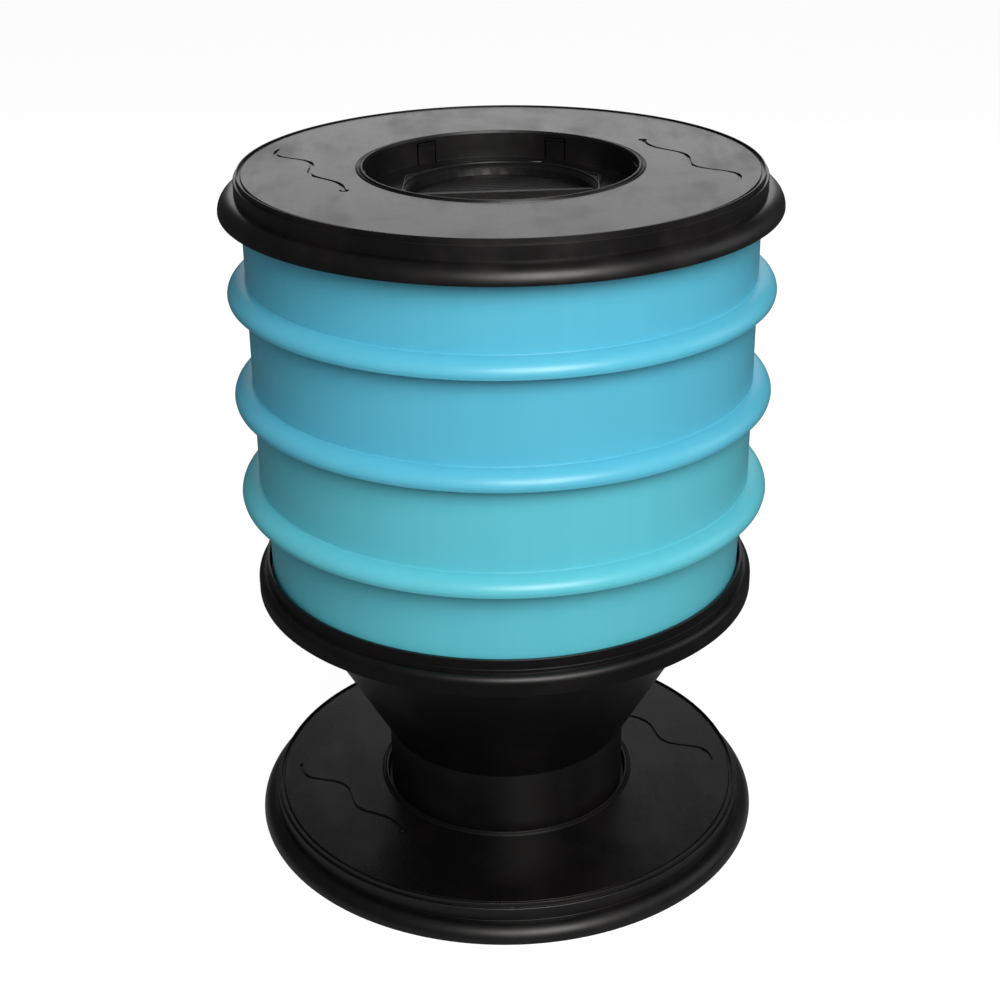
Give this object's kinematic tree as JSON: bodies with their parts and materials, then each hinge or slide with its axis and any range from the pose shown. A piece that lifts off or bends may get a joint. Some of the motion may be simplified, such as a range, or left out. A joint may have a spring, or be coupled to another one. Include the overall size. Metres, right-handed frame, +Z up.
{
  "type": "wormery",
  "caption": "Round stacking wormery: black foot disc, funnel-shaped liquid collector with drain tap, nesting flanged trays and a recessed lid with a vent cap.",
  "frame": {"origin": "centre of the foot disc, on the ground", "axes": "+Z up through the middle of every ring, -Y to the front of the picture, +Y to the tap at the back"},
  "size_m": [0.4, 0.4, 0.5276],
  "materials": {
    "black_moulding": "satin",
    "tray_blue": "satin",
    "tray_teal": "satin",
    "tap_black": "satin",
    "tap_grey": "satin",
    "seal_rubber": "matte"
  },
  "bodies": {
    "stand": {"base_disc": "black_moulding", "collector": "black_moulding", "strainer": "black_moulding", "tap_body": "tap_black", "tap_seal_outer": "seal_rubber", "tap_seal_inner": "seal_rubber", "tap_nut": "tap_black"},
    "tap_plug": {"tap_plug": "tap_grey", "tap_plug_ring": "seal_rubber"},
    "tray_bottom": {"tray_bottom": "tray_teal"},
    "tray_middle": {"tray_middle": "tray_blue"},
    "tray_top": {"tray_top": "tray_blue"},
    "lid": {"lid": "black_moulding"},
    "vent_cap": {"vent_cap": "black_moulding"}
  },
  "joints": [
    {"name": "tap_turn", "type": "hinge", "parent": "stand", "child": "tap_plug", "pos_m": [0, 0.15291, 0.1036], "axis": [0, 0, 1], "range_deg": [0, 90]},
    {"name": "tray_bottom_lift", "type": "slide", "parent": "stand", "child": "tray_bottom", "axis": [0, 0, 1], "range_m": [0, 0.12]},
    {"name": "tray_middle_lift", "type": "slide", "parent": "tray_bottom", "child": "tray_middle", "axis": [0, 0, 1], "range_m": [0, 0.12]},
    {"name": "tray_top_lift", "type": "slide", "parent": "tray_middle", "child": "tray_top", "axis": [0, 0, 1], "range_m": [0, 0.12]},
    {"name": "lid_lift", "type": "slide", "parent": "tray_top", "child": "lid", "axis": [0, 0, 1], "range_m": [0, 0.12]},
    {"name": "vent_cap_lift", "type": "slide", "parent": "lid", "child": "vent_cap", "axis": [0, 0, 1], "range_m": [0, 0.06]}
  ]
}
